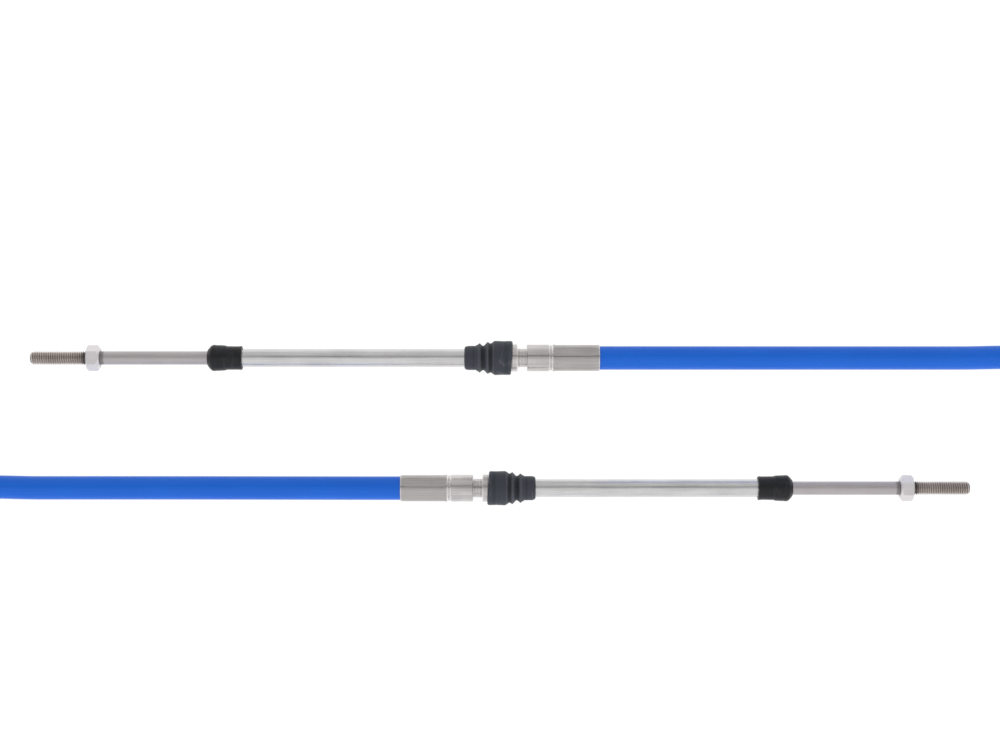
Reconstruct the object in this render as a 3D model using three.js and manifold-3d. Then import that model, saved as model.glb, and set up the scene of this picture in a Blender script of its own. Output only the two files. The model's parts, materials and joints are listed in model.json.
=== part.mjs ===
// A push-pull control cable: a plastic-covered steel conduit with an inner core, and the same
// swivel end fitting at each end. Millimetres, +Z up. The origin is on the floor, midway between
// the two end fittings, which lie side by side and point opposite ways along X.
import * as THREE from "three";
import { mergeVertices } from "three/addons/utils/BufferGeometryUtils.js";
import Module from "manifold-3d";

const wasm = await Module();
wasm.setup();

// Gap kept between pieces that touch on the real cable
const GAP = 0.3;

// Push rod: 3/16 in bar, one inch of 10-32 thread on its outer end, 3 in of travel
const ROD_R = 2.38;
const ROD_TIP_AT = 167.9;
const ROD_LENGTH = 121.9;
const THREAD_LENGTH = 25.4;
const THREAD_MEAN_R = 2.18;
const TIP_CHAMFER = 0.5;
const TRAVEL_EACH_WAY = 38.1;

// Lock nut, run down to the inner end of the thread
const NUT_ACROSS_FLATS = 8;
const NUT_THICKNESS = 4.6;
const NUT_CORNER_CHAMFER = 0.45;
const NUT_CONE = 0.7;
const NUT_TO_SEAL_SPARE = 0.3;

// Support sleeve: 1/4 in tube
const SLEEVE_R = 3.175;
const SLEEVE_LENGTH = 97;

// Wiper seal, a rubber cap on the sleeve's outer end
const SEAL_LENGTH = 12.4;
const SEAL_GRIP = 7.7;
const SEAL_FRONT_R = 4.65;
const SEAL_REAR_R = 4.2;
const SEAL_STEP_AT = 6;
const SEAL_STEP = 0.2;
const SEAL_DOME = 2;

// Swivel ball on the sleeve's inner end; the swivel's centre is the fitting's own zero
const BALL_R = 3.9;
const BALL_FLAT_AT = 2.2;
const BALL_BORE_R = 2.2;
const SWIVEL_DEG = 8;

// Hub: socket nose, flange, clamp groove, shoulder and a barrel crimped to six flats
const SOCKET_REACH = 2.4;
const SOCKET_THROAT = 1;
const SOCKET_OUTER_R = 4.7;
const SOCKET_DEEP = 4.3;
const LIP_SPARE = 0.15;
const FLANGE_R = 4.85;
const FLANGE_FROM = 4.4;
const FLANGE_THICKNESS = 1.9;
const NECK_R = 3.25;
const GROOVE_WIDTH = 3.3;
const SHOULDER_R = 4.7625;
const SHOULDER_LENGTH = 8.4;
const RELIEF_R = 4.35;
const RELIEF_WIDTH = 0.7;
const BARREL_LENGTH = 16.9;
const BARREL_R = 4.9;
const BARREL_ACROSS_FLATS = 9.2;
const BARREL_MOUTH_R = 4.7;
const BARREL_MOUTH_TAPER = 3;
const CONDUIT_SEAT_DEPTH = 3;
const SEAT_SPARE = 0.15;
const EDGE_CHAMFER = 0.25;

// Rubber bellows over the swivel: its outline from the rear cuff to the front cuff
const CUFF_REAR_R = 6.1;
const CUFF_REAR_LENGTH = 7.3;
const CUFF_CHAMFER = 1.3;
const CUFF_EDGE = 0.5;
const RING_BIG_R = 5.72;
const RING_SMALL_R = 5.22;
const VALLEY_BIG_R = 5.25;
const VALLEY_SMALL_R = 4.4;
const CUFF_FRONT_R = 4.3;
const CUFF_FRONT_LENGTH = 4.3;
const BELLOWS_FRONT_AT = 12.7;
const RING_PITCH = 3;
const RING_SLOPE = 1;
const BELLOWS_WALL = 1.1;
const VALLEY_WALL = 0.8;

// Conduit and core
const MM_PER_M = 1000;
const CONDUIT_R = 4.2;
const CONDUIT_BORE_R = 2;
const CORE_R = 1.4;
const CORE_STOPS_SHORT = 0.6;
const CONDUIT_SIDES = 12;
const BORE_SIDES = 8;

// Where the two fittings lie
const ROW_OFFSET = 23.3;
const AXIS_HEIGHT = CUFF_REAR_R;

// Round pieces have this many sides, with a corner straight down
const SIDES = 24;

const NECK_FROM = FLANGE_FROM + FLANGE_THICKNESS;
const SHOULDER_FROM = NECK_FROM + GROOVE_WIDTH;
const BARREL_FROM = SHOULDER_FROM + SHOULDER_LENGTH + RELIEF_WIDTH;
const BARREL_END = BARREL_FROM + BARREL_LENGTH;
const SWING = Math.sin(THREE.MathUtils.degToRad(SWIVEL_DEG));
const SLEEVE_FROM = BALL_FLAT_AT + GAP + SLEEVE_R * SWING;
const SLEEVE_END = SLEEVE_FROM + SLEEVE_LENGTH;
const SLEEVE_BORE_R = ROD_R + GAP;
const SEAL_FROM = SLEEVE_END - SEAL_GRIP;
const SEAL_END = SEAL_FROM + SEAL_LENGTH;
const NUT_FROM = SEAL_END + TRAVEL_EACH_WAY + NUT_TO_SEAL_SPARE;

// The conduit's route over the floor, from fitting A's barrel round to fitting B's: metres, chosen
// by hand. Its ends leave the barrels along X and come down from the fittings' height to the floor.
const ROUTE_M = [
  [0.033, 0.0233, 0.0061],
  [0.05, 0.0233, 0.0061],
  [0.075, 0.0233, 0.0054],
  [0.105, 0.0233, 0.0045],
  [0.135, 0.0233, 0.0042],
  [0.165, 0.0233, 0.0042],
  [0.195, 0.0233, 0.0042],
  [0.2274, 0.019, 0.0042],
  [0.2576, 0.0065, 0.0042],
  [0.2835, -0.0134, 0.0042],
  [0.3034, -0.0393, 0.0042],
  [0.3159, -0.0695, 0.0042],
  [0.3202, -0.1019, 0.0042],
  [0.3159, -0.1342, 0.0042],
  [0.3034, -0.1644, 0.0042],
  [0.2835, -0.1903, 0.0042],
  [0.2576, -0.2102, 0.0042],
  [0.2274, -0.2227, 0.0042],
  [0.195, -0.227, 0.0042],
  [0.16, -0.227, 0.0042],
  [0.12, -0.227, 0.0042],
  [0.06, -0.227, 0.0042],
  [0.0, -0.227, 0.0042],
  [-0.06, -0.227, 0.0042],
  [-0.12, -0.227, 0.0042],
  [-0.16, -0.227, 0.0042],
  [-0.195, -0.227, 0.0042],
  [-0.2231, -0.2231, 0.0042],
  [-0.249, -0.2115, 0.0042],
  [-0.2707, -0.1933, 0.0042],
  [-0.2865, -0.1698, 0.0042],
  [-0.2953, -0.1428, 0.0042],
  [-0.2963, -0.1145, 0.0042],
  [-0.2894, -0.087, 0.0042],
  [-0.2753, -0.0624, 0.0042],
  [-0.2549, -0.0428, 0.0042],
  [-0.2265, -0.0283, 0.0042],
  [-0.195, -0.0233, 0.0042],
  [-0.165, -0.0233, 0.0042],
  [-0.135, -0.0233, 0.0042],
  [-0.105, -0.0233, 0.0045],
  [-0.075, -0.0233, 0.0054],
  [-0.05, -0.0233, 0.0061],
  [-0.033, -0.0233, 0.0061],
];

const metal = (color, roughness) => new THREE.MeshStandardMaterial({ color, roughness, metalness: 1 });
const soft = (color, roughness) => new THREE.MeshStandardMaterial({ color, roughness });
const STAINLESS = metal(0xc8c7c4, 0.3);
const NICKEL = metal(0xb4b0ab, 0.38);
const BRIGHT = metal(0xe0dede, 0.25);
const THREAD_STEEL = metal(0x9a938d, 0.45);
const SLATE_RUBBER = soft(0x42494f, 0.7);
const BLACK_RUBBER = soft(0x202126, 0.6);
const BLUE_JACKET = soft(0x2660c3, 0.45);
const CORE_STEEL = metal(0x8f8f8c, 0.5);

// A solid turned about the fitting's axis, local +X, from [place along the axis, radius] pairs
function turned(outline) {
  const points = outline.map(([along, radius]) => new THREE.Vector2(radius, along));
  const geometry = new THREE.LatheGeometry(points, SIDES);
  geometry.rotateZ(-Math.PI / 2);
  return geometry;
}

// A ring section that closes on itself
function turnedRing(outline) {
  return turned([...outline, outline[0]]);
}

// The same, for an outline given by its distances behind the swivel's centre
function turnedBehind(outline) {
  return turnedRing(outline.map(([behind, radius]) => [-behind, radius]).reverse());
}

// A six-sided bar along local +X, with its first corner at an angle counted from straight down
function hexBar(acrossFlats, from, to, firstCorner) {
  const corner = acrossFlats / 2 / Math.cos(Math.PI / 6);
  const shape = new THREE.Shape();
  for (let i = 0; i < 6; i += 1) {
    const angle = firstCorner + (i * Math.PI) / 3;
    const point = [corner * Math.cos(angle), corner * Math.sin(angle)];
    if (i === 0) shape.moveTo(...point);
    else shape.lineTo(...point);
  }
  const geometry = new THREE.ExtrudeGeometry(shape, { depth: to - from, bevelEnabled: false });
  geometry.rotateY(Math.PI / 2);
  geometry.translate(from, 0, 0);
  return geometry;
}

function solidOf(geometry) {
  const bare = geometry.clone();
  bare.deleteAttribute("normal");
  bare.deleteAttribute("uv");
  const merged = mergeVertices(bare, 1e-4);
  return new wasm.Manifold(
    new wasm.Mesh({
      numProp: 3,
      vertProperties: new Float32Array(merged.attributes.position.array),
      triVerts: new Uint32Array(merged.index.array),
    }),
  );
}

function geometryOf(solid) {
  const mesh = solid.getMesh();
  const geometry = new THREE.BufferGeometry();
  geometry.setAttribute("position", new THREE.BufferAttribute(mesh.vertProperties, 3));
  geometry.setIndex(new THREE.BufferAttribute(mesh.triVerts, 1));
  geometry.computeVertexNormals();
  return geometry;
}

function meshOf(name, geometry, material) {
  const mesh = new THREE.Mesh(geometry, material);
  mesh.name = name;
  return mesh;
}

// Plain bar with a reduced, chamfered stretch that carries the thread
function rodGeometry() {
  const threadFrom = ROD_TIP_AT - THREAD_LENGTH;
  return turned([
    [ROD_TIP_AT - ROD_LENGTH, 0],
    [ROD_TIP_AT - ROD_LENGTH, ROD_R],
    [threadFrom - EDGE_CHAMFER, ROD_R],
    [threadFrom, THREAD_MEAN_R],
    [ROD_TIP_AT - TIP_CHAMFER, THREAD_MEAN_R],
    [ROD_TIP_AT, THREAD_MEAN_R - TIP_CHAMFER],
    [ROD_TIP_AT, 0],
  ]);
}

// Six-sided nut with its corners turned off on both faces, and a cone on the inner one
function nutGeometry() {
  const cornerR = NUT_ACROSS_FLATS / 2 / Math.cos(Math.PI / 6);
  const faceR = NUT_ACROSS_FLATS / 2;
  const nutEnd = NUT_FROM + NUT_THICKNESS;
  const body = solidOf(hexBar(NUT_ACROSS_FLATS, NUT_FROM, nutEnd, Math.PI / 2));
  const turnedOff = solidOf(
    turned([
      [NUT_FROM, 0],
      [NUT_FROM, faceR - NUT_CONE],
      [NUT_FROM + NUT_CONE, faceR],
      [NUT_FROM + NUT_CONE + NUT_CORNER_CHAMFER, cornerR],
      [nutEnd - NUT_CORNER_CHAMFER, cornerR],
      [nutEnd, faceR],
      [nutEnd, 0],
    ]),
  );
  const boreR = THREAD_MEAN_R + GAP;
  const bore = solidOf(turned([[NUT_FROM - 1, 0], [NUT_FROM - 1, boreR], [nutEnd + 1, boreR], [nutEnd + 1, 0]]));
  return geometryOf(body.intersect(turnedOff).subtract(bore));
}

function sleeveGeometry() {
  return turnedRing([
    [SLEEVE_FROM, SLEEVE_BORE_R],
    [SLEEVE_FROM, SLEEVE_R],
    [SLEEVE_END, SLEEVE_R],
    [SLEEVE_END, SLEEVE_BORE_R],
  ]);
}

// Cap that grips the sleeve's end and wipes the rod with its domed front
function sealGeometry() {
  const gripR = SLEEVE_R + GAP;
  const lipR = ROD_R + GAP;
  const stepAt = SEAL_FROM + SEAL_STEP_AT;
  return turnedRing([
    [SEAL_FROM, gripR],
    [SEAL_FROM, SEAL_REAR_R],
    [stepAt, SEAL_REAR_R],
    [stepAt + SEAL_STEP, SEAL_REAR_R + SEAL_STEP],
    [SEAL_END - SEAL_DOME, SEAL_FRONT_R],
    [SEAL_END - SEAL_DOME * 0.65, SEAL_FRONT_R - SEAL_DOME * 0.15],
    [SEAL_END - SEAL_DOME * 0.2, SEAL_FRONT_R - SEAL_DOME * 0.65],
    [SEAL_END, SEAL_FRONT_R - SEAL_DOME * 0.9],
    [SEAL_END, lipR],
    [SLEEVE_END + GAP, lipR],
    [SLEEVE_END + GAP, gripR],
  ]);
}

// Ball with flats fore and aft, bored for the core
function ballGeometry() {
  const outline = [[-BALL_FLAT_AT, BALL_BORE_R]];
  const steps = 8;
  for (let i = 0; i <= steps; i += 1) {
    const along = -BALL_FLAT_AT + (2 * BALL_FLAT_AT * i) / steps;
    outline.push([along, Math.sqrt(BALL_R ** 2 - along ** 2)]);
  }
  outline.push([BALL_FLAT_AT, BALL_BORE_R]);
  return turnedRing(outline);
}

// Hub from the socket's lip to the barrel's mouth, with its core bore and conduit seat
function hubGeometry() {
  const coreBoreR = CORE_R + GAP;
  const socketR = BALL_R + GAP;
  const lipR = SLEEVE_R + SOCKET_REACH * SWING + LIP_SPARE;
  const shoulderEnd = SHOULDER_FROM + SHOULDER_LENGTH;
  const seatFrom = BARREL_END - CONDUIT_SEAT_DEPTH;
  const seatR = CONDUIT_R + SEAT_SPARE;
  const nose = turnedBehind([
    [-SOCKET_REACH, lipR],
    [-SOCKET_REACH, SOCKET_OUTER_R],
    [FLANGE_FROM, SOCKET_OUTER_R],
    [FLANGE_FROM, FLANGE_R],
    [NECK_FROM, FLANGE_R],
    [NECK_FROM, NECK_R],
    [SHOULDER_FROM, NECK_R],
    [SHOULDER_FROM, SHOULDER_R - EDGE_CHAMFER],
    [SHOULDER_FROM + EDGE_CHAMFER, SHOULDER_R],
    [shoulderEnd, SHOULDER_R],
    [shoulderEnd, RELIEF_R],
    [BARREL_FROM, RELIEF_R],
    [BARREL_FROM, coreBoreR],
    [SOCKET_DEEP, coreBoreR],
    [SOCKET_DEEP, socketR],
    [-SOCKET_THROAT, socketR],
  ]);
  const barrel = turnedBehind([
    [BARREL_FROM, coreBoreR],
    [BARREL_FROM, BARREL_R],
    [BARREL_END - BARREL_MOUTH_TAPER, BARREL_R],
    [BARREL_END, BARREL_MOUTH_R],
    [BARREL_END, seatR],
    [seatFrom, seatR],
    [seatFrom, coreBoreR],
  ]);
  const flats = hexBar(BARREL_ACROSS_FLATS, -BARREL_END - 1, -BARREL_FROM + 1, 0);
  const crimped = solidOf(barrel).intersect(solidOf(flats));
  return geometryOf(solidOf(nose).add(crimped));
}

// Rubber boot: a thick rear cuff over the socket, two rings, and a front cuff on the sleeve
function bellowsGeometry() {
  const rearInnerR = SOCKET_OUTER_R + GAP;
  const frontInnerR = SLEEVE_R + GAP;
  const rearFrom = -FLANGE_FROM + GAP;
  const rearEnd = rearFrom + CUFF_REAR_LENGTH;
  const cuffFrontFrom = BELLOWS_FRONT_AT - CUFF_FRONT_LENGTH;
  const smallRing = cuffFrontFrom - RING_SLOPE;
  const bigRing = smallRing - RING_PITCH;
  const outside = [
    [rearFrom, CUFF_REAR_R - CUFF_EDGE],
    [rearFrom + CUFF_EDGE, CUFF_REAR_R],
    [rearEnd - CUFF_CHAMFER, CUFF_REAR_R],
    [rearEnd, VALLEY_BIG_R],
    [bigRing, RING_BIG_R],
    [bigRing + RING_PITCH / 2, VALLEY_SMALL_R],
    [smallRing, RING_SMALL_R],
    [cuffFrontFrom, CUFF_FRONT_R],
    [BELLOWS_FRONT_AT - EDGE_CHAMFER, CUFF_FRONT_R],
    [BELLOWS_FRONT_AT, CUFF_FRONT_R - EDGE_CHAMFER],
  ];
  const inside = [
    [BELLOWS_FRONT_AT, frontInnerR],
    [cuffFrontFrom + RING_SLOPE, frontInnerR],
    [smallRing, RING_SMALL_R - BELLOWS_WALL],
    [bigRing + RING_PITCH / 2, VALLEY_SMALL_R - VALLEY_WALL],
    [bigRing, RING_BIG_R - BELLOWS_WALL],
    [SOCKET_REACH + GAP, RING_BIG_R - BELLOWS_WALL],
    [SOCKET_REACH + GAP, rearInnerR],
    [rearFrom, rearInnerR],
  ];
  return turnedRing([...outside, ...inside]);
}

// One end fitting along its own +X, with the swivel's centre at zero
function endFitting(end) {
  const fitting = new THREE.Group();
  fitting.add(meshOf(`hub_${end}`, hubGeometry(), NICKEL));
  fitting.add(meshOf(`swivel_ball_${end}`, ballGeometry(), STAINLESS));
  fitting.add(meshOf(`sleeve_${end}`, sleeveGeometry(), STAINLESS));
  fitting.add(meshOf(`wiper_seal_${end}`, sealGeometry(), BLACK_RUBBER));
  fitting.add(meshOf(`bellows_${end}`, bellowsGeometry(), SLATE_RUBBER));
  fitting.add(meshOf(`push_rod_${end}`, rodGeometry(), THREAD_STEEL));
  fitting.add(meshOf(`lock_nut_${end}`, nutGeometry(), BRIGHT));
  return fitting;
}

function circlePath(PathClass, radius, sides) {
  const path = new PathClass();
  for (let i = 0; i <= sides; i += 1) {
    const angle = (2 * Math.PI * i) / sides;
    const point = [radius * Math.cos(angle), radius * Math.sin(angle)];
    if (i === 0) path.moveTo(...point);
    else path.lineTo(...point);
  }
  return path;
}

function routeCurve(points) {
  return new THREE.CatmullRomCurve3(points, false, "centripetal");
}

function routePoints() {
  return ROUTE_M.map((point) => new THREE.Vector3(...point).multiplyScalar(MM_PER_M));
}

function along(section, curve, steps) {
  return new THREE.ExtrudeGeometry(section, { steps, extrudePath: curve, bevelEnabled: false });
}

function conduitGeometry() {
  const section = circlePath(THREE.Shape, CONDUIT_R, CONDUIT_SIDES);
  section.holes.push(circlePath(THREE.Path, CONDUIT_BORE_R, BORE_SIDES));
  return along(section, routeCurve(routePoints()), 80);
}

// The core runs on through both hubs to just short of the swivel balls
function coreGeometry() {
  const reach = SOCKET_DEEP + CORE_STOPS_SHORT;
  const points = [
    new THREE.Vector3(reach, ROW_OFFSET, AXIS_HEIGHT),
    ...routePoints(),
    new THREE.Vector3(-reach, -ROW_OFFSET, AXIS_HEIGHT),
  ];
  return along(circlePath(THREE.Shape, CORE_R, BORE_SIDES), routeCurve(points), 84);
}

const cable = new THREE.Group();

const endA = endFitting("a");
endA.rotation.z = Math.PI;
endA.position.set(0, ROW_OFFSET, AXIS_HEIGHT);
cable.add(endA);

const endB = endFitting("b");
endB.position.set(0, -ROW_OFFSET, AXIS_HEIGHT);
cable.add(endB);

cable.add(meshOf("conduit", conduitGeometry(), BLUE_JACKET));
cable.add(meshOf("inner_core", coreGeometry(), CORE_STEEL));

export default cable;
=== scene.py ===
import json
import math

import bmesh
import bpy
from mathutils import Matrix, Vector


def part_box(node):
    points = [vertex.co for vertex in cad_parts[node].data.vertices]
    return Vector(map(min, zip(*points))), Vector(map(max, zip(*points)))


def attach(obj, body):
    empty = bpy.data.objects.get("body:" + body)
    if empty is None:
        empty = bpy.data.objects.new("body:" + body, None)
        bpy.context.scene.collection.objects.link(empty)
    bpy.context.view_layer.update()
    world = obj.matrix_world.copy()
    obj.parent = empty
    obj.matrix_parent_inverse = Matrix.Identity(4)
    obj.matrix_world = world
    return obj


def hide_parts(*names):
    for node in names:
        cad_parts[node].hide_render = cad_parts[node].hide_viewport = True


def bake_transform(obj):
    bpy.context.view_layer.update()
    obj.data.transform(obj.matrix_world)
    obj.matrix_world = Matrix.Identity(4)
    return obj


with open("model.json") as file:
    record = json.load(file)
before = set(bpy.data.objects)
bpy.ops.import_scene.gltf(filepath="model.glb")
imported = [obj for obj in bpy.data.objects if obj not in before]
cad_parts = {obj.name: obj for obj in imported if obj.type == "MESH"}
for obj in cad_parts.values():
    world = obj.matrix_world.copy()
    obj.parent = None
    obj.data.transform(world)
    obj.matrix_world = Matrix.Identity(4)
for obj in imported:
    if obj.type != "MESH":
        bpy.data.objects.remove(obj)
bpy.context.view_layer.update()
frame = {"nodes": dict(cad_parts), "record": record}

MM = 0.001
JOINTS = {joint["name"]: joint for joint in frame["record"]["behaviour"]["joints"]}
ENDS = ("a", "b")


# Camera: straight over the two fittings, as the photograph looks down on them

LENS_MM = 71.8
EYE_ABOVE_FITTINGS = 0.714
LOOK_AT_Y = 0.0172


def make_camera():
    data = bpy.data.cameras.new("studio_camera")
    data.lens = LENS_MM
    data.sensor_width = 36
    camera = bpy.data.objects.new("studio_camera", data)
    pivot_height = JOINTS["swivel_side_a"]["pos_m"][2]
    camera.location = (0, LOOK_AT_Y, pivot_height + EYE_ABOVE_FITTINGS)
    bpy.context.scene.collection.objects.link(camera)
    bpy.context.scene.camera = camera


make_camera()


# Node trees: short ways to add and join nodes


def put(tree, kind, **settings):
    node = tree.nodes.new(kind)
    for key, value in settings.items():
        setattr(node, key, value)
    return node


def feed(tree, socket, value):
    if isinstance(value, bpy.types.NodeSocket):
        tree.links.new(value, socket)
    else:
        socket.default_value = value


def sums(tree, operation, *values):
    node = put(tree, "ShaderNodeMath", operation=operation)
    for socket, value in zip(node.inputs, values):
        feed(tree, socket, value)
    return node.outputs[0]


def ramped(tree, value, low, high, to_low=0.0, to_high=1.0):
    node = put(tree, "ShaderNodeMapRange", interpolation_type="SMOOTHSTEP")
    for name, what in (
        ("Value", value),
        ("From Min", low),
        ("From Max", high),
        ("To Min", to_low),
        ("To Max", to_high),
    ):
        feed(tree, node.inputs[name], what)
    return node.outputs[0]


def mixed_color(tree, factor, first, second):
    node = put(tree, "ShaderNodeMix", data_type="RGBA")
    feed(tree, node.inputs["Factor"], factor)
    feed(tree, node.inputs["A"], first)
    feed(tree, node.inputs["B"], second)
    return node.outputs["Result"]


def noise(tree, vector, scale, detail=3.0, roughness=0.5):
    node = put(tree, "ShaderNodeTexNoise")
    feed(tree, node.inputs["Vector"], vector)
    node.inputs["Scale"].default_value = scale
    node.inputs["Detail"].default_value = detail
    node.inputs["Roughness"].default_value = roughness
    return node.outputs["Fac"]


def stretched(tree, vector, scale):
    node = put(tree, "ShaderNodeMapping")
    feed(tree, node.inputs["Vector"], vector)
    node.inputs["Scale"].default_value = scale
    return node.outputs["Vector"]


def interface(tree, direction, sockets):
    for name, kind, value in sockets:
        socket = tree.interface.new_socket(name, in_out=direction, socket_type=kind)
        if value is not None:
            socket.default_value = value


# Shader groups that several finishes share


def drawn_lines_group():
    """Fine lines that run along a bar or a tube, and the faint blotches of handling on them."""
    group = bpy.data.node_groups.new("drawn_lines", "ShaderNodeTree")
    interface(
        group,
        "INPUT",
        [
            ("Line Scale", "NodeSocketFloat", 3000.0),
            ("Stretch", "NodeSocketFloat", 0.02),
        ],
    )
    interface(
        group,
        "OUTPUT",
        [("Lines", "NodeSocketFloat", None), ("Blotches", "NodeSocketFloat", None)],
    )
    ins = put(group, "NodeGroupInput")
    outs = put(group, "NodeGroupOutput")
    place = put(group, "ShaderNodeTexCoord").outputs["Object"]
    parts = put(group, "ShaderNodeSeparateXYZ")
    feed(group, parts.inputs[0], place)
    along = sums(group, "MULTIPLY", parts.outputs["X"], ins.outputs["Stretch"])
    joined = put(group, "ShaderNodeCombineXYZ")
    feed(group, joined.inputs["X"], along)
    feed(group, joined.inputs["Y"], parts.outputs["Y"])
    feed(group, joined.inputs["Z"], parts.outputs["Z"])
    lines = put(group, "ShaderNodeTexNoise")
    feed(group, lines.inputs["Vector"], joined.outputs[0])
    feed(group, lines.inputs["Scale"], ins.outputs["Line Scale"])
    lines.inputs["Detail"].default_value = 4
    feed(group, outs.inputs["Lines"], lines.outputs["Fac"])
    feed(group, outs.inputs["Blotches"], noise(group, place, 90.0, 4.0, 0.6))
    return group


def scuffs_group():
    """Pale rubbed marks and powdery bloom on moulded rubber."""
    group = bpy.data.node_groups.new("rubber_scuffs", "ShaderNodeTree")
    interface(group, "INPUT", [("Mark Scale", "NodeSocketFloat", 350.0)])
    interface(
        group,
        "OUTPUT",
        [("Marks", "NodeSocketFloat", None), ("Grain", "NodeSocketFloat", None)],
    )
    ins = put(group, "NodeGroupInput")
    outs = put(group, "NodeGroupOutput")
    place = put(group, "ShaderNodeTexCoord").outputs["Object"]
    marks = put(group, "ShaderNodeTexNoise")
    feed(group, marks.inputs["Vector"], stretched(group, place, (1.0, 0.45, 0.45)))
    feed(group, marks.inputs["Scale"], ins.outputs["Mark Scale"])
    marks.inputs["Detail"].default_value = 6
    marks.inputs["Roughness"].default_value = 0.65
    marks.inputs["Distortion"].default_value = 0.8
    feed(group, outs.inputs["Marks"], ramped(group, marks.outputs["Fac"], 0.52, 0.72))
    feed(group, outs.inputs["Grain"], noise(group, place, 2600.0, 3.0))
    return group


DRAWN_LINES = drawn_lines_group()
SCUFFS = scuffs_group()


def new_material(name):
    material = bpy.data.materials.new(name)
    material.use_nodes = True
    tree = material.node_tree
    shader = tree.nodes["Principled BSDF"]
    return material, tree, shader


def placed_group(tree, group, **values):
    node = put(tree, "ShaderNodeGroup", node_tree=group)
    for key, value in values.items():
        node.inputs[key.replace("_", " ")].default_value = value
    return node


def bumped(tree, shader, height, strength, distance):
    node = put(tree, "ShaderNodeBump")
    feed(tree, node.inputs["Height"], height)
    node.inputs["Strength"].default_value = strength
    node.inputs["Distance"].default_value = distance
    tree.links.new(node.outputs["Normal"], shader.inputs["Normal"])


def along_fitting(tree):
    """Distance outward from a fitting's swivel; fitting A lies at +Y and points along -X."""
    parts = put(tree, "ShaderNodeSeparateXYZ")
    feed(tree, parts.inputs[0], put(tree, "ShaderNodeTexCoord").outputs["Object"])
    way = sums(tree, "MULTIPLY", sums(tree, "SIGN", parts.outputs["Y"]), -1.0)
    return sums(tree, "MULTIPLY", parts.outputs["X"], way)


def banded(tree, color, bands):
    """The colour with soft rings over it, used for painted shade and painted highlights: (place, full width,
    fading width in mm, colour, amount).
    """
    along = along_fitting(tree)
    for place, full, fading, tint, amount in bands:
        away = sums(tree, "ABSOLUTE", sums(tree, "SUBTRACT", along, place * MM))
        cover = ramped(tree, away, full * MM / 2, (full / 2 + fading) * MM, amount, 0.0)
        color = mixed_color(tree, cover, color, (*tint, 1))
    return color


def drawn_metal(name, dull, bright, roughness, line_scale, bump, bands=()):
    """Metal drawn or ground along X: dull and bright are its colours in and between the lines."""
    material, tree, shader = new_material(name)
    lines = placed_group(tree, DRAWN_LINES, Line_Scale=line_scale)
    shade = sums(
        tree,
        "ADD",
        sums(tree, "MULTIPLY", lines.outputs["Lines"], 0.6),
        sums(tree, "MULTIPLY", lines.outputs["Blotches"], 0.4),
    )
    color = mixed_color(tree, ramped(tree, shade, 0.35, 0.65), (*dull, 1), (*bright, 1))
    feed(tree, shader.inputs["Base Color"], banded(tree, color, bands))
    feed(
        tree,
        shader.inputs["Roughness"],
        ramped(tree, lines.outputs["Lines"], 0.3, 0.7, roughness - 0.05, roughness + 0.06),
    )
    shader.inputs["Metallic"].default_value = 1
    bumped(tree, shader, lines.outputs["Lines"], bump, 0.00003)
    return material


def moulded_rubber(name, dark, pale, amount, roughness, mark_scale, bands=()):
    material, tree, shader = new_material(name)
    scuffs = placed_group(tree, SCUFFS, Mark_Scale=mark_scale)
    marks = sums(tree, "MULTIPLY", scuffs.outputs["Marks"], amount)
    color = mixed_color(tree, marks, (*dark, 1), (*pale, 1))
    feed(tree, shader.inputs["Base Color"], banded(tree, color, bands))
    feed(
        tree,
        shader.inputs["Roughness"],
        ramped(tree, scuffs.outputs["Grain"], 0.3, 0.7, roughness - 0.06, roughness + 0.08),
    )
    shader.inputs["Specular IOR Level"].default_value = 0.35
    bumped(tree, shader, scuffs.outputs["Grain"], 0.25, 0.00004)
    return material


def blue_jacket():
    """Extruded plastic: an even blue with faint length lines and a soft sheen."""
    material, tree, shader = new_material("blue_extruded_jacket")
    uv = put(tree, "ShaderNodeUVMap", uv_map="along_and_round").outputs["UV"]
    streaks = noise(tree, stretched(tree, uv, (6.0, 90.0, 1.0)), 1.0, 4.0)
    cloud = noise(tree, stretched(tree, uv, (40.0, 4.0, 1.0)), 1.0, 3.0)
    shade = sums(
        tree, "ADD", sums(tree, "MULTIPLY", streaks, 0.6), sums(tree, "MULTIPLY", cloud, 0.4)
    )
    color = mixed_color(
        tree,
        ramped(tree, shade, 0.35, 0.65),
        (0.005, 0.15, 0.78, 1),
        (0.0085, 0.172, 0.85, 1),
    )
    feed(tree, shader.inputs["Base Color"], color)
    feed(tree, shader.inputs["Roughness"], ramped(tree, streaks, 0.3, 0.7, 0.38, 0.46))
    shader.inputs["Specular IOR Level"].default_value = 0.3
    bumped(tree, shader, streaks, 0.15, 0.00003)
    return material


# Colours for painted rings: painted highlights on the hub's edges and the bellows' ridges, painted shade
# over the crimped barrel and in the bellows' valleys.
PAINTED_EDGE_HIGHLIGHT = (0.86, 0.84, 0.82)
CRIMP_SHADE = (0.34, 0.32, 0.31)
VALLEY_SHADE = (0.006, 0.008, 0.013)
PAINTED_RIDGE_HIGHLIGHT = (0.1, 0.105, 0.125)

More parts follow.
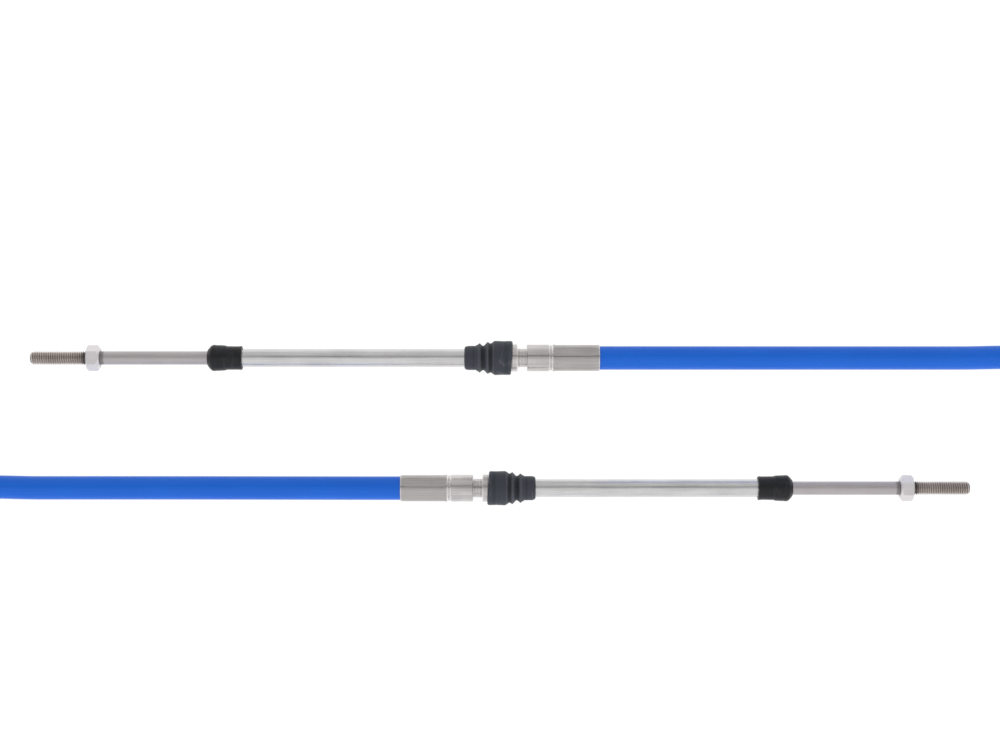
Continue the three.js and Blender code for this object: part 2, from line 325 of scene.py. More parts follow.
STAINLESS_TUBE = drawn_metal(
    "stainless_tube", (0.59, 0.58, 0.58), (0.74, 0.73, 0.73), 0.31, 3200.0, 0.12
)
GROUND_ROD = drawn_metal(
    "ground_rod",
    (0.51, 0.475, 0.48),
    (0.58, 0.545, 0.55),
    0.52,
    3600.0,
    0.2,
    # A darker ring on the rod where it meets the nut: painted shadow cast by the nut.
    [(142.4, 1.0, 0.5, (0.16, 0.15, 0.15), 0.6)],
)
ROLLED_THREAD = drawn_metal(
    "rolled_thread",
    (0.5, 0.45, 0.43),
    (0.72, 0.66, 0.62),
    0.4,
    1500.0,
    0.2,
    # A darker ring on the thread just past the nut: painted shade where the nut shuts out light.
    [(148.0, 1.0, 1.5, (0.12, 0.12, 0.11), 0.8)],
)
CRIMPED_HUB = drawn_metal(
    "crimped_hub",
    (0.5, 0.475, 0.47),
    (0.68, 0.655, 0.645),
    0.3,
    2400.0,
    0.3,
    [
        # Painted shade over the crimped barrel, and thin painted highlights on the flange, shoulder, barrel
        # start and mouth edges.
        (-27.2, 16.0, 0.6, CRIMP_SHADE, 0.5),
        (-6.15, 0.16, 0.2, PAINTED_EDGE_HIGHLIGHT, 0.8),
        (-17.7, 0.2, 0.2, PAINTED_EDGE_HIGHLIGHT, 0.6),
        (-18.75, 0.2, 0.2, PAINTED_EDGE_HIGHLIGHT, 0.9),
        (-35.45, 0.3, 0.2, PAINTED_EDGE_HIGHLIGHT, 0.5),
    ],
)
BRIGHT_NUT = drawn_metal("bright_nut", (0.76, 0.73, 0.74), (0.83, 0.8, 0.81), 0.5, 1500.0, 0.12)
# The thread's root core: the same steel as the ridges, painted much darker as painted shade between the
# crests.
PAINTED_SHADE_ROOTS = drawn_metal("root_steel_painted_shade", (0.19, 0.16, 0.15), (0.3, 0.26, 0.25), 0.5, 1500.0, 0.2)
CORE_WIRE = drawn_metal("core_wire", (0.3, 0.3, 0.29), (0.44, 0.43, 0.42), 0.4, 1500.0, 0.2)
SLATE_RUBBER = moulded_rubber(
    "slate_rubber",
    (0.046, 0.053, 0.068),
    (0.13, 0.135, 0.16),
    0.6,
    0.55,
    420.0,
    [
        # Painted shade in the two valleys and where the front cuff starts, painted highlights on the ridges,
        # and a darker ring on the rear cuff.
        (3.4, 0.7, 0.4, VALLEY_SHADE, 0.8),
        (6.1, 0.6, 0.5, VALLEY_SHADE, 0.8),
        (2.3, 0.1, 0.25, PAINTED_RIDGE_HIGHLIGHT, 0.5),
        (4.5, 0.3, 0.3, PAINTED_RIDGE_HIGHLIGHT, 0.6),
        (7.4, 0.5, 0.4, PAINTED_RIDGE_HIGHLIGHT, 0.5),
        (9.4, 0.3, 0.4, VALLEY_SHADE, 0.3),
        (-2.2, 0.6, 0.6, (0.024, 0.034, 0.045), 0.6),
    ],
)
BLACK_RUBBER = moulded_rubber(
    "black_rubber", (0.009, 0.0095, 0.0125), (0.045, 0.045, 0.055), 0.4, 0.42, 300.0
)
BLUE_JACKET = blue_jacket()


# The conduit: the same route as the solid's, as a hollow tube

CONDUIT_R = 0.0042
CONDUIT_BORE_R = 0.002
CONDUIT_SIDES = 48
STEPS_PER_SPAN = 10
ROUTE = [
    (0.033, 0.0233, 0.0061),
    (0.05, 0.0233, 0.0061),
    (0.075, 0.0233, 0.0054),
    (0.105, 0.0233, 0.0045),
    (0.135, 0.0233, 0.0042),
    (0.165, 0.0233, 0.0042),
    (0.195, 0.0233, 0.0042),
    (0.2274, 0.019, 0.0042),
    (0.2576, 0.0065, 0.0042),
    (0.2835, -0.0134, 0.0042),
    (0.3034, -0.0393, 0.0042),
    (0.3159, -0.0695, 0.0042),
    (0.3202, -0.1019, 0.0042),
    (0.3159, -0.1342, 0.0042),
    (0.3034, -0.1644, 0.0042),
    (0.2835, -0.1903, 0.0042),
    (0.2576, -0.2102, 0.0042),
    (0.2274, -0.2227, 0.0042),
    (0.195, -0.227, 0.0042),
    (0.16, -0.227, 0.0042),
    (0.12, -0.227, 0.0042),
    (0.06, -0.227, 0.0042),
    (0.0, -0.227, 0.0042),
    (-0.06, -0.227, 0.0042),
    (-0.12, -0.227, 0.0042),
    (-0.16, -0.227, 0.0042),
    (-0.195, -0.227, 0.0042),
    (-0.2231, -0.2231, 0.0042),
    (-0.249, -0.2115, 0.0042),
    (-0.2707, -0.1933, 0.0042),
    (-0.2865, -0.1698, 0.0042),
    (-0.2953, -0.1428, 0.0042),
    (-0.2963, -0.1145, 0.0042),
    (-0.2894, -0.087, 0.0042),
    (-0.2753, -0.0624, 0.0042),
    (-0.2549, -0.0428, 0.0042),
    (-0.2265, -0.0283, 0.0042),
    (-0.195, -0.0233, 0.0042),
    (-0.165, -0.0233, 0.0042),
    (-0.135, -0.0233, 0.0042),
    (-0.105, -0.0233, 0.0045),
    (-0.075, -0.0233, 0.0054),
    (-0.05, -0.0233, 0.0061),
    (-0.033, -0.0233, 0.0061),
]


def hermite(p0, p1, m0, m1, t):
    return (
        p0 * (2 * t**3 - 3 * t**2 + 1)
        + m0 * (t**3 - 2 * t**2 + t)
        + p1 * (3 * t**2 - 2 * t**3)
        + m1 * (t**3 - t**2)
    )


def smooth_path(points, steps):
    """The centripetal curve through the points, as a list of close points."""
    knots = [Vector(p) for p in points]
    first = knots[0] * 2 - knots[1]
    last = knots[-1] * 2 - knots[-2]
    padded = [first, *knots, last]
    path = []
    for i in range(len(knots) - 1):
        a, b, c, d = padded[i : i + 4]
        t0, t1, t2 = (max((q - p).length ** 0.5, 1e-6) for p, q in ((a, b), (b, c), (c, d)))
        m1 = ((b - a) / t0 - (c - a) / (t0 + t1) + (c - b) / t1) * t1
        m2 = ((c - b) / t1 - (d - b) / (t1 + t2) + (d - c) / t2) * t1
        path += [hermite(b, c, m1, m2, k / steps) for k in range(steps)]
    return [*path, knots[-1]]


def mesh_object(name, mesh):
    thing = bpy.data.objects.new(name, mesh)
    bpy.context.scene.collection.objects.link(thing)
    return thing


def hollow_tube(name, path, outer, inner, sides):
    """A tube with square ends along a path, with a UV map of metres along and turns round."""
    mesh = bpy.data.meshes.new(name)
    build = bmesh.new()
    uv = build.loops.layers.uv.new("along_and_round")
    up = Vector((0, 0, 1))
    rings = {outer: [], inner: []}
    for i, point in enumerate(path):
        ahead = (path[min(i + 1, len(path) - 1)] - path[max(i - 1, 0)]).normalized()
        side = ahead.cross(up).normalized()
        over = side.cross(ahead)
        for radius, rows in rings.items():
            angles = [2 * math.pi * k / sides for k in range(sides)]
            rows.append(
                [build.verts.new(point + radius * (math.cos(a) * side + math.sin(a) * over)) for a in angles]
            )
    gone = [0.0]
    for p, q in zip(path, path[1:]):
        gone.append(gone[-1] + (q - p).length)

    def quad(corners, places):
        face = build.faces.new(corners)
        face.smooth = True
        for loop, place in zip(face.loops, places):
            loop[uv].uv = place

    for radius, rows in rings.items():
        for i in range(len(rows) - 1):
            for k in range(sides):
                n = (k + 1) % sides
                corners = [rows[i][k], rows[i][n], rows[i + 1][n], rows[i + 1][k]]
                places = [
                    (gone[i], k / sides),
                    (gone[i], (k + 1) / sides),
                    (gone[i + 1], (k + 1) / sides),
                    (gone[i + 1], k / sides),
                ]
                if radius == inner:
                    corners.reverse()
                    places.reverse()
                quad(corners, places)
    for i in (0, -1):
        for k in range(sides):
            n = (k + 1) % sides
            corners = [rings[outer][i][k], rings[inner][i][k], rings[inner][i][n], rings[outer][i][n]]
            if i == -1:
                corners.reverse()
            face = build.faces.new(corners)
            face.smooth = False
    if build.calc_volume(signed=True) < 0:
        bmesh.ops.reverse_faces(build, faces=build.faces)
    build.to_mesh(mesh)
    build.free()
    return mesh_object(name, mesh)


def make_conduit():
    path = smooth_path(ROUTE, STEPS_PER_SPAN)
    jacket = hollow_tube("conduit_jacket", path, CONDUIT_R, CONDUIT_BORE_R, CONDUIT_SIDES)
    jacket.data.materials.append(BLUE_JACKET)
    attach(jacket, "root")
    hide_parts("conduit")


make_conduit()


# The tree that turns an outline about X into a piece: round, with flats, or wound as a thread

TREE_INPUTS = [
    ("Outline", "NodeSocketGeometry", None),
    ("Steps", "NodeSocketInt", 144),
    ("Turns", "NodeSocketFloat", 1.0),
    ("Pitch", "NodeSocketFloat", 0.0),
    ("Run Out", "NodeSocketFloat", 0.0),
    ("Root Radius", "NodeSocketFloat", 0.0),
    ("Across Flats", "NodeSocketFloat", 1.0),
    ("First Flat", "NodeSocketFloat", 0.0),
    ("Flats From", "NodeSocketFloat", 0.0),
    ("Flats To", "NodeSocketFloat", 0.0),
    ("Flats Ease", "NodeSocketFloat", 0.0001),
    ("Corner Softness", "NodeSocketFloat", 0.0001),
    ("Wobble", "NodeSocketFloat", 0.0),
    ("Wobble Scale", "NodeSocketFloat", 150.0),
    ("Lobe Depth", "NodeSocketFloat", 0.0),
    ("Lobe Count", "NodeSocketFloat", 9.0),
    ("Lobes At", "NodeSocketFloat", 0.0),
    ("Lobes Reach", "NodeSocketFloat", 0.001),
    ("Finish", "NodeSocketMaterial", None),
]


def point_round_x(tree, along, radius, angle):
    """The point at this place along X, at this radius and angle round it."""
    point = put(tree, "ShaderNodeCombineXYZ")
    feed(tree, point.inputs["X"], along)
    feed(tree, point.inputs["Y"], sums(tree, "MULTIPLY", radius, sums(tree, "COSINE", angle)))
    feed(tree, point.inputs["Z"], sums(tree, "MULTIPLY", radius, sums(tree, "SINE", angle)))
    return point.outputs[0]


def turning_tree():
    tree = bpy.data.node_groups.new("turned_piece", "GeometryNodeTree")
    interface(tree, "INPUT", TREE_INPUTS)
    interface(tree, "OUTPUT", [("Piece", "NodeSocketGeometry", None)])
    ins = put(tree, "NodeGroupInput").outputs
    out = put(tree, "NodeGroupOutput")

    count = put(tree, "GeometryNodeAttributeDomainSize", component="MESH")
    feed(tree, count.inputs["Geometry"], ins["Outline"])
    columns = sums(tree, "ADD", ins["Steps"], 1.0)
    grid = put(tree, "GeometryNodeMeshGrid")
    feed(tree, grid.inputs["Vertices X"], count.outputs["Point Count"])
    feed(tree, grid.inputs["Vertices Y"], columns)

    index = put(tree, "GeometryNodeInputIndex").outputs[0]
    row = sums(tree, "FLOOR", sums(tree, "DIVIDE", sums(tree, "ADD", index, 0.5), columns))
    column = sums(tree, "SUBTRACT", index, sums(tree, "MULTIPLY", row, columns))
    share = sums(tree, "DIVIDE", column, ins["Steps"])
    turned = sums(tree, "MULTIPLY", share, ins["Turns"])
    angle = sums(tree, "MULTIPLY", turned, 2 * math.pi)

    sample = put(tree, "GeometryNodeSampleIndex", data_type="FLOAT_VECTOR", domain="POINT")
    feed(tree, sample.inputs["Geometry"], ins["Outline"])
    feed(tree, sample.inputs["Value"], put(tree, "GeometryNodeInputPosition").outputs[0])
    feed(tree, sample.inputs["Index"], row)
    outline = put(tree, "ShaderNodeSeparateXYZ")
    feed(tree, outline.inputs[0], sample.outputs[0])
    along, radius = outline.outputs["X"], outline.outputs["Y"]

    # A thread's section shrinks to nothing over its first and last part turn
    full_in = ramped(tree, turned, 0.0, sums(tree, "ADD", ins["Run Out"], 1e-6))
    left = sums(tree, "SUBTRACT", ins["Turns"], turned)
    full_out = ramped(tree, left, 0.0, sums(tree, "ADD", ins["Run Out"], 1e-6))
    wound = sums(tree, "MULTIPLY", full_in, full_out)
    is_thread = sums(tree, "GREATER_THAN", ins["Run Out"], 0.0)
    fullness = sums(tree, "MAXIMUM", wound, sums(tree, "SUBTRACT", 1.0, is_thread))
    height = sums(tree, "SUBTRACT", radius, ins["Root Radius"])
    radius = sums(tree, "ADD", ins["Root Radius"], sums(tree, "MULTIPLY", height, fullness))
    along = sums(tree, "MULTIPLY", along, fullness)
    along = sums(tree, "ADD", along, sums(tree, "MULTIPLY", turned, ins["Pitch"]))

    # Six flats, where the outline stands out past them
    sixth = math.pi / 6
    off_flat = sums(tree, "WRAP", sums(tree, "SUBTRACT", angle, ins["First Flat"]), sixth, -sixth)
    apothem = sums(tree, "MULTIPLY", ins["Across Flats"], 0.5)
    flat_radius = sums(tree, "DIVIDE", apothem, sums(tree, "COSINE", off_flat))
    pressed = sums(tree, "SMOOTH_MIN", radius, flat_radius, ins["Corner Softness"])
    pressed_in = ramped(
        tree, along, ins["Flats From"], sums(tree, "ADD", ins["Flats From"], ins["Flats Ease"])
    )
    pressed_out = ramped(
        tree, along, sums(tree, "SUBTRACT", ins["Flats To"], ins["Flats Ease"]), ins["Flats To"], 1.0, 0.0
    )
    share_pressed = sums(tree, "MULTIPLY", pressed_in, pressed_out)
    change = sums(tree, "MULTIPLY", sums(tree, "SUBTRACT", pressed, radius), share_pressed)
    radius = sums(tree, "ADD", radius, change)

    # Lobes on a soft rim, and the slight unevenness of moulded rubber
    rim = sums(tree, "ABSOLUTE", sums(tree, "SUBTRACT", along, ins["Lobes At"]))
    near_rim = ramped(tree, rim, 0.0, ins["Lobes Reach"], 1.0, 0.0)
    lobes = sums(tree, "COSINE", sums(tree, "MULTIPLY", angle, ins["Lobe Count"]))
    lobe = sums(tree, "MULTIPLY", sums(tree, "MULTIPLY", lobes, ins["Lobe Depth"]), near_rim)
    along = sums(tree, "ADD", along, lobe)
    uneven = put(tree, "ShaderNodeTexNoise")
    feed(tree, uneven.inputs["Vector"], point_round_x(tree, along, radius, angle))
    feed(tree, uneven.inputs["Scale"], ins["Wobble Scale"])
    uneven.inputs["Detail"].default_value = 1.0
    swell = sums(
        tree, "MULTIPLY", sums(tree, "SUBTRACT", uneven.outputs["Fac"], 0.5), ins["Wobble"]
    )
    off_axis = sums(tree, "GREATER_THAN", radius, 1e-6)
    radius = sums(tree, "ADD", radius, sums(tree, "MULTIPLY", swell, off_axis))

    moved = put(tree, "GeometryNodeSetPosition")
    feed(tree, moved.inputs["Geometry"], grid.outputs["Mesh"])
    feed(tree, moved.inputs["Position"], point_round_x(tree, along, radius, angle))
    merged = put(tree, "GeometryNodeMergeByDistance")
    feed(tree, merged.inputs["Geometry"], moved.outputs[0])
    merged.inputs["Distance"].default_value = 1e-6
    smooth = put(tree, "GeometryNodeSetShadeSmooth")
    feed(tree, smooth.inputs["Geometry"], merged.outputs[0])
    real = put(tree, "GeometryNodeRealizeInstances")
    feed(tree, real.inputs["Geometry"], smooth.outputs[0])
    finish = put(tree, "GeometryNodeSetMaterial")
    feed(tree, finish.inputs["Geometry"], real.outputs[0])
    feed(tree, finish.inputs["Material"], ins["Finish"])
    feed(tree, out.inputs["Piece"], finish.outputs[0])
    return tree


TURNING = turning_tree()
SHARP_ANGLE = math.radians(28)


def turned_mesh(name, outline_mm, finish, **sizes):
    """The outline, in (along, radius) millimetres, turned by the tree and baked to a plain mesh."""
    line = bpy.data.meshes.new(name)
    points = [(along * MM, radius * MM, 0) for along, radius in outline_mm]
    line.from_pydata(points, [(i, i + 1) for i in range(len(points) - 1)], [])
    holder = mesh_object(name, line)
    modifier = holder.modifiers.new("turning", "NODES")
    modifier.node_group = TURNING
    settings = {"Finish": finish, **{key.replace("_", " "): value for key, value in sizes.items()}}
    for item in TURNING.interface.items_tree:
        if item.in_out == "INPUT" and item.name in settings:
            modifier[item.identifier] = settings[item.name]
    holder.update_tag()
    graph = bpy.context.evaluated_depsgraph_get()
    graph.update()
    mesh = bpy.data.meshes.new_from_object(holder.evaluated_get(graph))
    bpy.data.objects.remove(holder)
    build = bmesh.new()
    build.from_mesh(mesh)
    if build.calc_volume(signed=True) < 0:
        bmesh.ops.reverse_faces(build, faces=build.faces)
    for face in build.faces:
        face.material_index = 0
    build.to_mesh(mesh)
    build.free()
    mesh.materials.clear()
    mesh.materials.append(finish)
    mesh.set_sharp_from_angle(angle=SHARP_ANGLE)
    return mesh


def closed(outline):
    return [*outline, outline[0]]


def edge_round(outline, radius, steps=3):
    """The outline with its corners rounded off, except at its two ends."""
    result = []
    for i, point in enumerate(outline):
        if i in (0, len(outline) - 1):
            result.append(point)
            continue
        here = Vector(point)
        before = Vector(outline[i - 1]) - here
        after = Vector(outline[i + 1]) - here
        cut = min(radius, before.length * 0.45, after.length * 0.45)
        if cut < 1e-4 or abs(before.normalized().dot(after.normalized())) > 0.999:
            result.append(point)
            continue
        start = here + before.normalized() * cut
        end = here + after.normalized() * cut
        for k in range(steps + 1):
            t = k / steps
            result.append(tuple(start * (1 - t) ** 2 + here * 2 * t * (1 - t) + end * t**2))
    return result


def spread_rows(outline, step):
    """The outline with more points on its long straight stretches."""
    result = [outline[0]]
    for p, q in zip(outline, outline[1:]):
        pieces = max(1, math.ceil(math.dist(p, q) / step))
        for k in range(1, pieces + 1):
            t = k / pieces
            result.append((p[0] + (q[0] - p[0]) * t, p[1] + (q[1] - p[1]) * t))
    return result


def ring_groove(place, radius, half_width, depth):
    return [(place - half_width, radius), (place, radius - depth), (place + half_width, radius)]


# Sizes along each fitting, in millimetres from its swivel's centre, read from end B's solids


def span(node):
    low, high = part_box(node)
    return low[0] / MM, high[0] / MM


SLEEVE_FROM, SLEEVE_END = span("sleeve_b")
SEAL_FROM, SEAL_END = span("wiper_seal_b")
ROD_FROM, ROD_TIP = span("push_rod_b")
NUT_FROM, NUT_END = span("lock_nut_b")
HUB_END, SOCKET_FRONT = span("hub_b")
BELLOWS_FROM, BELLOWS_END = span("bellows_b")

PASSING_GAP = 0.3
SLEEVE_R = 3.175
ROD_R = 2.38
THREAD_PITCH = 0.794
THREAD_CREST_R = 2.4
THREAD_ROOT_R = 1.97
THREAD_RUN_OUT_TURNS = 0.6
NUT_ACROSS_FLATS = 8.0
BARREL_ACROSS_FLATS = 9.2
CONDUIT_SEAT_DEPTH = 3
CORE_BORE_R = 1.7
RUBBER_GRIP_R = SLEEVE_R + 0.02


def on_fitting(mesh, end):
    turn = math.pi if end == "a" else 0.0
    pivot = Vector(JOINTS[f"swivel_side_{end}"]["pos_m"])
    mesh.transform(Matrix.Translation(pivot) @ Matrix.Rotation(turn, 4, "Z"))
    return mesh


def joined_mesh(name, meshes):
    result = bpy.data.meshes.new(name)
    build = bmesh.new()
    slots = []
    for mesh in meshes:
        first = len(build.faces)
        build.from_mesh(mesh)
        build.faces.ensure_lookup_table()
        for face in build.faces[first:]:
            face.material_index = len(slots)
        slots.append(mesh.materials[0])
    build.to_mesh(result)
    build.free()
    for slot in slots:
        result.materials.append(slot)
    return result


def finished_piece(name, mesh, end, body, node):
    piece = mesh_object(f"{name}_{end}", on_fitting(mesh, end))
    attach(piece, f"{body}_{end}" if body != "root" else "root")
    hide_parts(node)
    return piece


def make_sleeve(end):
    bore = ROD_R + PASSING_GAP
    corners = [
        (SLEEVE_FROM, bore),
        (SLEEVE_FROM, SLEEVE_R),
        (SLEEVE_END, SLEEVE_R),
        (SLEEVE_END, bore),
    ]
    mesh = turned_mesh("support_sleeve", edge_round(closed(corners), 0.2), STAINLESS_TUBE)
    finished_piece("support_sleeve", mesh, end, "support", f"sleeve_{end}")


def make_rod(end):
    thread_from = NUT_FROM + 0.6
    bar_outline = [
        (ROD_FROM, 0),
        (ROD_FROM, ROD_R),
        (thread_from - 0.3, ROD_R),
        (thread_from, THREAD_ROOT_R),
        (thread_from + 0.3, THREAD_ROOT_R),
        (thread_from + 0.3, 0),
    ]
    bar = turned_mesh("push_rod_bar", edge_round(bar_outline, 0.15), GROUND_ROD)
    core_outline = [
        (thread_from, 0),
        (thread_from, THREAD_ROOT_R),
        (ROD_TIP - 0.4, THREAD_ROOT_R),
        (ROD_TIP, THREAD_ROOT_R - 0.35),
        (ROD_TIP, 0),
    ]
    core = turned_mesh("push_rod_thread_core", edge_round(core_outline, 0.1), PAINTED_SHADE_ROOTS)
    turns = (ROD_TIP - thread_from - 0.6) / THREAD_PITCH
    foot = THREAD_ROOT_R - 0.08
    crest = 0.06
    flank = THREAD_PITCH * 0.46
    ridge = turned_mesh(
        "push_rod_thread_ridge",
        closed([(-flank, foot), (-crest, THREAD_CREST_R), (crest, THREAD_CREST_R), (flank, foot)]),
        ROLLED_THREAD,
        Turns=turns,
        Steps=int(turns * 40),
        Pitch=THREAD_PITCH * MM,
        Run_Out=THREAD_RUN_OUT_TURNS,
        Root_Radius=foot * MM,
    )
    ridge.transform(Matrix.Translation((thread_from * MM + 0.0003, 0, 0)))
    mesh = joined_mesh("push_rod", [bar, core, ridge])
    mesh.set_sharp_from_angle(angle=SHARP_ANGLE)
    finished_piece("push_rod", mesh, end, "rod", f"push_rod_{end}")


def make_nut(end):
    bore = THREAD_CREST_R + 0.05
    corner = NUT_ACROSS_FLATS / 2 / math.cos(math.pi / 6)
    half = NUT_ACROSS_FLATS / 2
    cone = 0.5
    turned_off = 0.5
    outline = closed(
        [
            (NUT_FROM + 0.35, bore),
            (NUT_FROM, bore + 0.2),
            (NUT_FROM, half - cone),
            (NUT_FROM + cone, half),
            (NUT_FROM + cone + turned_off, corner + 0.1),
            (NUT_END - turned_off, corner + 0.1),
            (NUT_END, half),
            (NUT_END, bore + 0.3),
            (NUT_END - 0.35, bore),
        ]
    )
    mesh = turned_mesh(
        "lock_nut",
        spread_rows(outline, 0.1),
        BRIGHT_NUT,
        Across_Flats=NUT_ACROSS_FLATS * MM,
        First_Flat=math.pi / 6,
        Flats_From=(NUT_FROM - 2) * MM,
        Flats_To=(NUT_END + 2) * MM,
        Corner_Softness=0.06 * MM,
    )
    finished_piece("lock_nut", mesh, end, "nut", f"lock_nut_{end}")


def make_seal(end):
    lip = ROD_R + 0.03
    step_at = SEAL_FROM + 6.0
    rear = [(SEAL_FROM, RUBBER_GRIP_R),(SEAL_FROM, 3.95), (SEAL_FROM + 0.12, 4.24), (SEAL_FROM + 0.7, 4.24)]
    for place in (1.3, 2.1, 3.0):
        rear += ring_groove(SEAL_FROM + place, 4.2, 0.16, 0.07)
    front = [
        (step_at - 0.5, 4.22),
        (step_at + 0.3, 4.5),
        *ring_groove(SEAL_END - 3.3, 4.62, 0.16, 0.06),
        (SEAL_END - 2.5, 4.68),
        (SEAL_END - 2.0, 4.66),
        (SEAL_END - 1.5, 4.42),
        (SEAL_END - 0.9, 3.85),
        (SEAL_END - 0.35, 3.2),
        (SEAL_END - 0.06, 2.75),
        (SEAL_END, lip + 0.12),
        (SEAL_END - 0.1, lip),
        (SLEEVE_END + 0.1, lip),
        (SLEEVE_END + 0.1, RUBBER_GRIP_R),
    ]
    mesh = turned_mesh(
        "wiper_seal",
        edge_round(closed([*rear, *front]), 0.25),
        BLACK_RUBBER,
        Wobble=0.12 * MM,
        Wobble_Scale=260.0,
        Lobe_Depth=0.05 * MM,
        Lobe_Count=7.0,
        Lobes_At=SEAL_FROM * MM,
        Lobes_Reach=1.0 * MM,
    )
    finished_piece("wiper_seal", mesh, end, "support", f"wiper_seal_{end}")


def make_hub(end):
    socket_r = 4.2
    flange_from = 4.4
    groove_from = 6.3
    shoulder_from = 9.6
    shoulder_to = 17.6
    barrel_from = 18.7
    barrel_end = -HUB_END
    seat_from = barrel_end - CONDUIT_SEAT_DEPTH
    behind = [
        (-SOCKET_FRONT, 3.66),
        (-SOCKET_FRONT, 4.7),
        (flange_from, 4.7),
        (flange_from, 4.85),
        (groove_from, 4.85),
        (groove_from, 3.25),
        *ring_groove(groove_from + 0.7, 3.3, 0.2, -0.12),
        *ring_groove(groove_from + 1.6, 3.25, 0.25, -0.15),
        *ring_groove(groove_from + 2.5, 3.25, 0.2, -0.12),
        (shoulder_from, 3.25),
        (shoulder_from, 4.5),
        (shoulder_from + 0.25, 4.76),
        (shoulder_to - 0.35, 4.76),
        (shoulder_to, 4.5),
        (shoulder_to + 0.15, 4.45),
        (barrel_from - 0.25, 4.45),
        (barrel_from, 4.7),
        (barrel_from + 0.4, 4.9),
        (barrel_end - 3, 4.9),
        (barrel_end, 4.72),
        (barrel_end, 4.35),
        (seat_from, 4.35),
        (seat_from, CORE_BORE_R),
        (4.3, CORE_BORE_R),
        (4.3, socket_r),
        (-1, socket_r),
    ]
    outline = closed([(-place, radius) for place, radius in behind])
    mesh = turned_mesh(
        "crimped_hub",
        spread_rows(edge_round(outline, 0.12), 0.8),
        CRIMPED_HUB,
        Across_Flats=BARREL_ACROSS_FLATS * MM,
        First_Flat=0.0,
        Flats_From=(HUB_END - 1) * MM,
        Flats_To=(-barrel_from + 0.1) * MM,
        Flats_Ease=1.6 * MM,
        Corner_Softness=0.08 * MM,
    )
    finished_piece("crimped_hub", mesh, end, "root", f"hub_{end}")


# The bellows: two pieces that meet at the split

BELLOWS_REAR = BELLOWS_FROM - 0.15
BELLOWS_BENDS_FROM = -1.0
BELLOWS_SPLIT = 6.0
BELLOWS_BENDS_TO = 8.6
SPLIT_R = 4.38
SPLIT_BORE_R = 4.05


def bellows_outline():
    """The boot's section: its outside from the rear cuff to the front cuff, then its inside back."""
    outside = [
        (BELLOWS_REAR, 5.05),
        (BELLOWS_REAR, 5.6),
        (BELLOWS_REAR + 0.35, 6.06),
        (-1.2, 6.05),
        (1.9, 6.12),
        (2.5, 5.75),
        (3.2, 5.22),
        (3.6, 5.22),
        (4.4, 5.78),
        (5.1, 5.1),
        (5.75, SPLIT_R),
        (BELLOWS_SPLIT, SPLIT_R),
        (6.25, SPLIT_R),
        (6.7, 4.75),
        (7.3, 5.3),
        (8.0, 4.75),
        (8.8, 4.33),
        (BELLOWS_END - 1.3, 4.32),
        (BELLOWS_END - 0.35, 4.1),
        (BELLOWS_END, 3.6),
    ]
    inside = [
        (BELLOWS_END, RUBBER_GRIP_R),
        (9.0, RUBBER_GRIP_R),
        (7.3, 4.2),
        (6.25, SPLIT_BORE_R),
        (BELLOWS_SPLIT, SPLIT_BORE_R),
        (5.75, SPLIT_BORE_R),
        (4.4, 4.6),
        (2.75, 4.6),
        (2.75, 4.72),
        (BELLOWS_REAR, 4.72),
    ]
    return edge_round(closed([*outside, *inside]), 0.18)


def make_bellows(end):
    whole = bellows_outline()
    rear = [point for point in whole if point[0] <= BELLOWS_SPLIT]
    front = closed([point for point in whole if point[0] >= BELLOWS_SPLIT])
    ball = f"ball_{end}"
    for name, outline, bodies, start, stop in (
        ("bellows_rear", rear, ("root", ball), BELLOWS_BENDS_FROM, BELLOWS_SPLIT),
        ("bellows_front", front, (ball, f"support_{end}"), BELLOWS_SPLIT, BELLOWS_BENDS_TO),
    ):
        mesh = turned_mesh(
            name,
            spread_rows(outline, 0.5),
            SLATE_RUBBER,
            Wobble=0.22 * MM,
            Wobble_Scale=190.0,
            Lobe_Depth=0.3 * MM,
            Lobe_Count=1.0,
            Lobes_At=BELLOWS_REAR * MM,
            Lobes_Reach=2.2 * MM,
        )
        piece = mesh_object(f"{name}_{end}", on_fitting(mesh, end))
        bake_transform(piece)
        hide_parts(f"bellows_{end}")


for which in ENDS:
    make_hub(which)
    make_sleeve(which)
    make_bellows(which)
    make_seal(which)
    make_rod(which)
    make_nut(which)


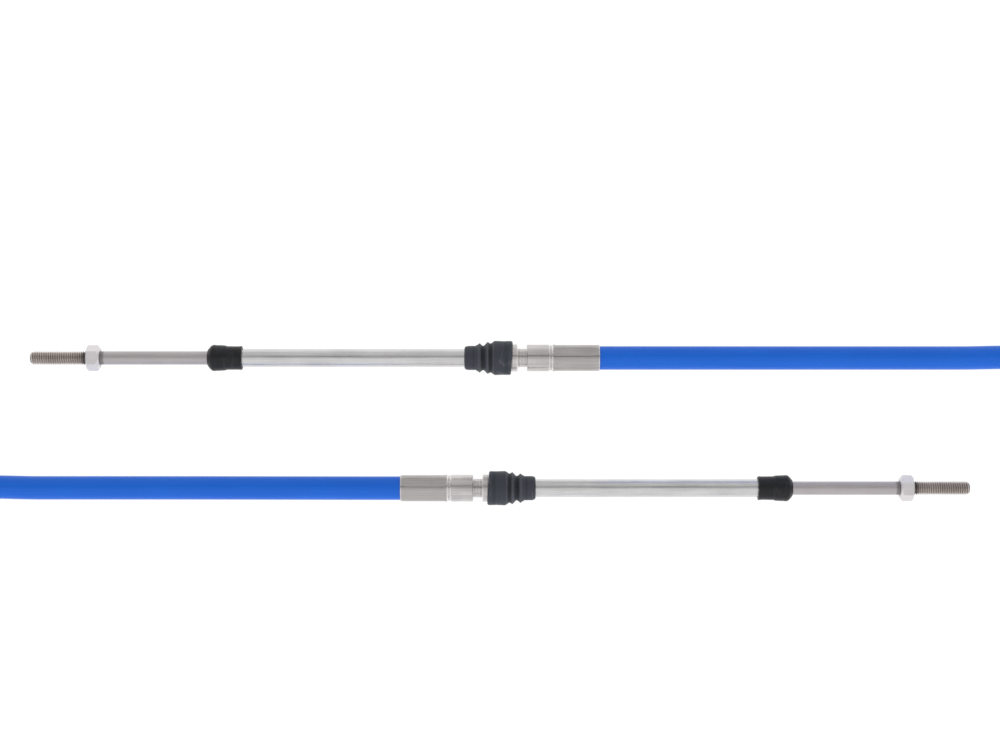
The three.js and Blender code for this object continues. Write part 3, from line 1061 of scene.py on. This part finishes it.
def finish_hidden_nodes():
    """The balls and the core stay as the solids have them, with a real finish."""
    for name, material in (
        ("swivel_ball_a", STAINLESS_TUBE),
        ("swivel_ball_b", STAINLESS_TUBE),
        ("inner_core", CORE_WIRE),
    ):
        node = frame["nodes"][name]
        node.material_slots[0].material = material


finish_hidden_nodes()


# Studio: a white floor, and soft light from both sides with a darker gap a little off overhead

GAP_AT = 0.29
GAP_LIGHT = 0.36
OPEN_LIGHT = 0.92
DIMMER_SIDE = 0.76
FLOOR_HALF_WIDTH = 4.0


def make_floor():
    mesh = bpy.data.meshes.new("studio_floor")
    half = FLOOR_HALF_WIDTH
    corners = [(-half, -half, 0), (half, -half, 0), (half, half, 0), (-half, half, 0)]
    mesh.from_pydata(corners, [], [(0, 1, 2, 3)])
    floor = mesh_object("studio_floor", mesh)
    material, tree, shader = new_material("studio_white")
    shader.inputs["Base Color"].default_value = (0.05, 0.05, 0.05, 1)
    shader.inputs["Roughness"].default_value = 0.9
    shader.inputs["Specular IOR Level"].default_value = 0.0
    shader.inputs["Emission Color"].default_value = (1, 1, 1, 1)
    shader.inputs["Emission Strength"].default_value = 1.0
    mesh.materials.append(material)


def make_world():
    world = bpy.data.worlds.new("studio_light")
    bpy.context.scene.world = world
    world.use_nodes = True
    tree = world.node_tree
    background = tree.nodes["Background"]
    direction = put(tree, "ShaderNodeTexCoord").outputs["Generated"]
    parts = put(tree, "ShaderNodeSeparateXYZ")
    feed(tree, parts.inputs[0], direction)
    off_gap = sums(tree, "ABSOLUTE", sums(tree, "SUBTRACT", parts.outputs["Y"], GAP_AT))
    gap = ramped(tree, off_gap, 0.07, 0.28, GAP_LIGHT, OPEN_LIGHT)
    side = ramped(tree, parts.outputs["Y"], -0.6, 0.7, 1.0, DIMMER_SIDE)
    feed(tree, background.inputs["Strength"], sums(tree, "MULTIPLY", gap, side))
    background.inputs["Color"].default_value = (1, 1, 1, 1)


make_floor()
make_world()
bpy.context.scene.view_settings.view_transform = "Standard"
